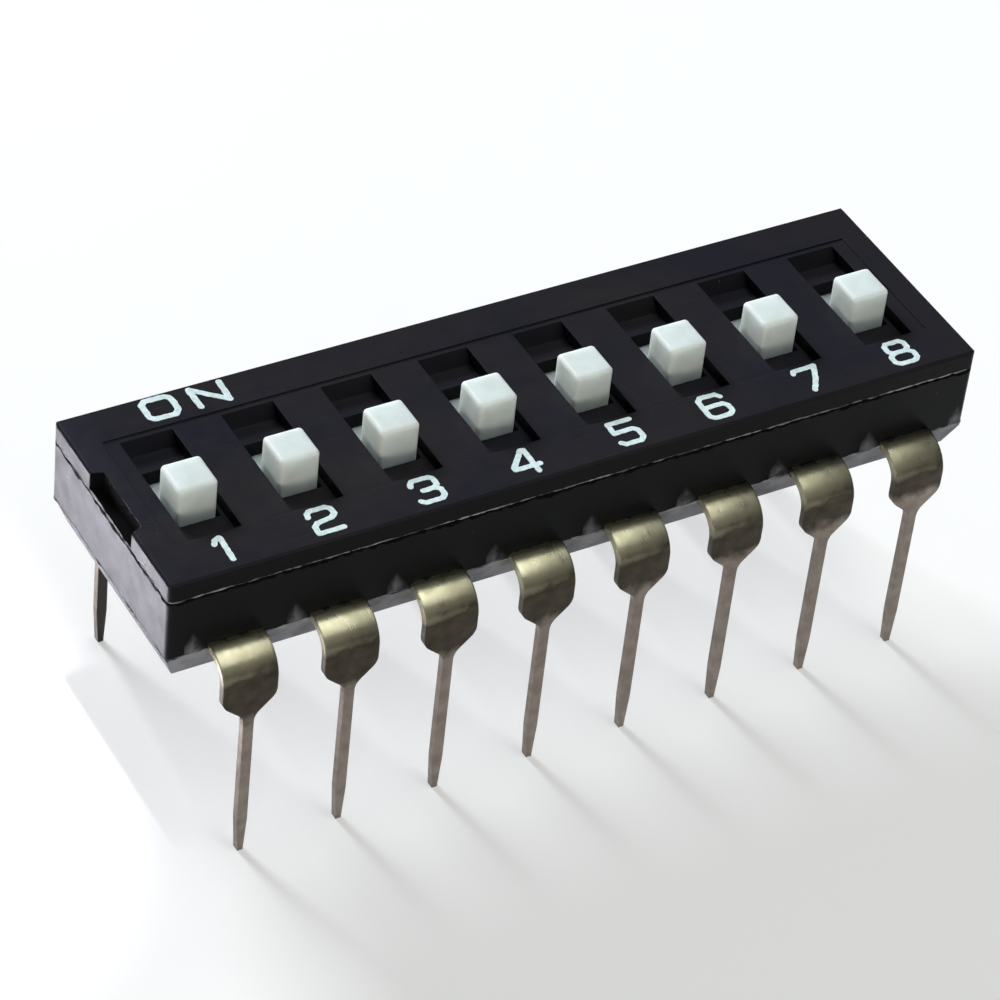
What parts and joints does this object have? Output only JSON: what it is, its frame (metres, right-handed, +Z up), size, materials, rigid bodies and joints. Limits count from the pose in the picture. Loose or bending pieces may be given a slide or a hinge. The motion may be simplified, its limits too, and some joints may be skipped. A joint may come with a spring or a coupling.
{
  "type": "dip switch",
  "caption": "Through-hole slide switch package with a row of independent raised actuators on a low black housing and two rows of bent flat terminals.",
  "frame": {"origin": "centre of the bounding box's bottom face, level with the leg tips", "axes": "+X along the row from position 1, whose end has the index notch, to the last one; +Y towards the ON side; +Z up to the actuators"},
  "size_m": [0.0212, 0.0078, 0.0087],
  "materials": {
    "housing": "satin",
    "actuator": "satin",
    "terminal": "gold plated",
    "spring": "gold plated"
  },
  "bodies": {
    "housing": {"base": "housing", "cover": "housing", "terminal_front_1": "terminal", "terminal_front_2": "terminal", "terminal_front_3": "terminal", "terminal_front_4": "terminal", "terminal_front_5": "terminal", "terminal_front_6": "terminal", "terminal_front_7": "terminal", "terminal_front_8": "terminal", "terminal_back_1": "terminal", "terminal_back_2": "terminal", "terminal_back_3": "terminal", "terminal_back_4": "terminal", "terminal_back_5": "terminal", "terminal_back_6": "terminal", "terminal_back_7": "terminal", "terminal_back_8": "terminal"},
    "slider_1": {"actuator_1": "actuator", "contact_spring_1": "spring"},
    "slider_2": {"actuator_2": "actuator", "contact_spring_2": "spring"},
    "slider_3": {"actuator_3": "actuator", "contact_spring_3": "spring"},
    "slider_4": {"actuator_4": "actuator", "contact_spring_4": "spring"},
    "slider_5": {"actuator_5": "actuator", "contact_spring_5": "spring"},
    "slider_6": {"actuator_6": "actuator", "contact_spring_6": "spring"},
    "slider_7": {"actuator_7": "actuator", "contact_spring_7": "spring"},
    "slider_8": {"actuator_8": "actuator", "contact_spring_8": "spring"}
  },
  "joints": [
    {"name": "switch_1", "type": "slide", "parent": "housing", "child": "slider_1", "axis": [0, 1, 0], "range_m": [0, 0.0008]},
    {"name": "switch_2", "type": "slide", "parent": "housing", "child": "slider_2", "axis": [0, 1, 0], "range_m": [0, 0.0008]},
    {"name": "switch_3", "type": "slide", "parent": "housing", "child": "slider_3", "axis": [0, 1, 0], "range_m": [0, 0.0008]},
    {"name": "switch_4", "type": "slide", "parent": "housing", "child": "slider_4", "axis": [0, 1, 0], "range_m": [0, 0.0008]},
    {"name": "switch_5", "type": "slide", "parent": "housing", "child": "slider_5", "axis": [0, 1, 0], "range_m": [0, 0.0008]},
    {"name": "switch_6", "type": "slide", "parent": "housing", "child": "slider_6", "axis": [0, 1, 0], "range_m": [0, 0.0008]},
    {"name": "switch_7", "type": "slide", "parent": "housing", "child": "slider_7", "axis": [0, 1, 0], "range_m": [0, 0.0008]},
    {"name": "switch_8", "type": "slide", "parent": "housing", "child": "slider_8", "axis": [0, 1, 0], "range_m": [0, 0.0008]}
  ]
}
